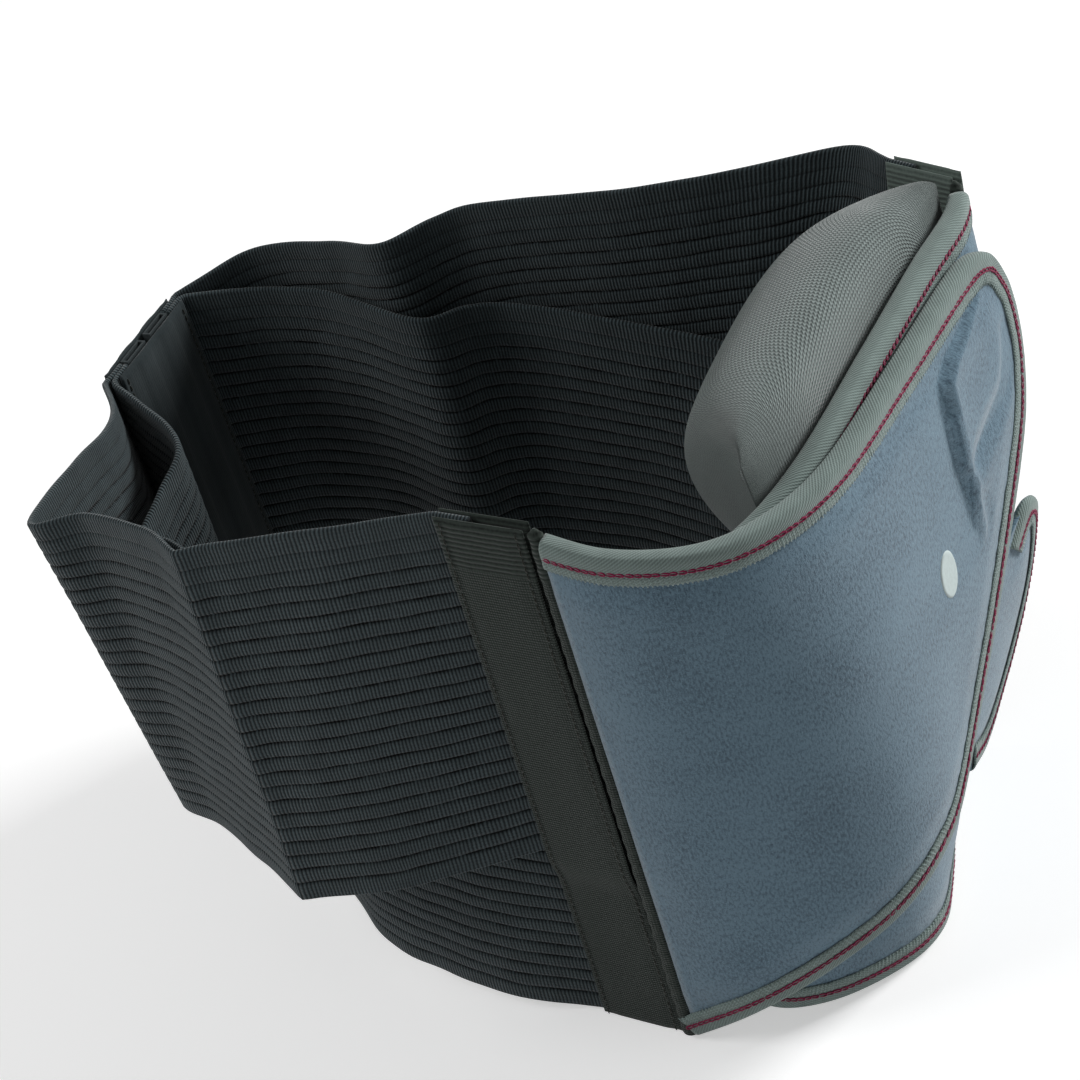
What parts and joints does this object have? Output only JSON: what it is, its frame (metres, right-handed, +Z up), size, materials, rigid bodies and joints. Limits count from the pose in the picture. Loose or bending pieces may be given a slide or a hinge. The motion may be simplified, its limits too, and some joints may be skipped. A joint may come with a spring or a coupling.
{
  "type": "lumbar support belt",
  "caption": "Elastic lumbar support belt closed in a loop, with overlapping front flaps, a padded insert, side tapes and flexible back stays.",
  "frame": {"origin": "centre of the belt's plan box, at the height of its lowest edge", "axes": "+Z up along the wearer's back, front closure towards -Y, outer flap's seam on the -X side"},
  "size_m": [0.275, 0.3346, 0.2413],
  "materials": {
    "elastic_webbing": "grooved elastic webbing",
    "tape": "woven tape",
    "strip": "woven cover",
    "loop_face": "brushed loop",
    "lining": "smooth knit lining",
    "foam": "open cell foam",
    "binding": "twill binding",
    "thread": "stitch thread",
    "dark_thread": "stitch thread",
    "pad_knit": "soft knit",
    "hook": "moulded hooks",
    "spot": "flat print",
    "stay": "spring steel"
  },
  "bodies": {
    "belt": {"back_strip_inner": "strip", "back_strip_outer": "strip", "back_strip_stitching": "dark_thread", "far_lower_band": "elastic_webbing", "far_seam_cord": "tape", "far_tape_inner": "tape", "far_tape_outer": "tape", "far_tape_stitching": "dark_thread", "far_upper_band": "elastic_webbing", "near_lower_band": "elastic_webbing", "near_seam_cord": "tape", "near_tape_inner": "tape", "near_tape_outer": "tape", "near_tape_stitching": "dark_thread", "near_upper_band": "elastic_webbing", "stay_pocket_far": "strip", "stay_pocket_near": "strip"},
    "outer_flap": {"closure_tab": "loop_face", "closure_tab_binding": "binding", "outer_flap_binding": "binding", "outer_flap_face": "loop_face", "outer_flap_foam": "foam", "outer_flap_lining": "lining", "outer_flap_stitching": "thread", "outer_hook_patch": "hook", "size_dot": "spot"},
    "under_flap": {"pad_landing_strips": "lining", "under_flap_binding": "binding", "under_flap_face": "loop_face", "under_flap_foam": "foam", "under_flap_lining": "lining", "under_flap_stitching": "thread", "under_loop_patch": "loop_face"},
    "pad": {"pad_cover": "pad_knit", "pad_foam": "foam", "pad_hook_strips": "hook"},
    "stay_near": {"stay_near": "stay"},
    "stay_far": {"stay_far": "stay"}
  },
  "joints": [
    {"name": "outer_flap_peel", "type": "hinge", "parent": "belt", "child": "outer_flap", "pos_m": [-0.06971, -0.10557, 0], "axis": [0, 0, -1], "range_deg": [0, 100]},
    {"name": "under_flap_fold", "type": "hinge", "parent": "belt", "child": "under_flap", "pos_m": [0.08252, -0.09282, 0], "axis": [-0.2007, 0.1001, -0.9745], "range_deg": [0, 20]},
    {"name": "pad_pull_off", "type": "slide", "parent": "under_flap", "child": "pad", "axis": [-0.27, 0.9629, 0], "range_m": [0, 0.04]},
    {"name": "stay_near_pull", "type": "slide", "parent": "belt", "child": "stay_near", "axis": [0, 0, 1], "range_m": [0, 0.13]},
    {"name": "stay_far_pull", "type": "slide", "parent": "belt", "child": "stay_far", "axis": [0, 0, 1], "range_m": [0, 0.13]}
  ]
}
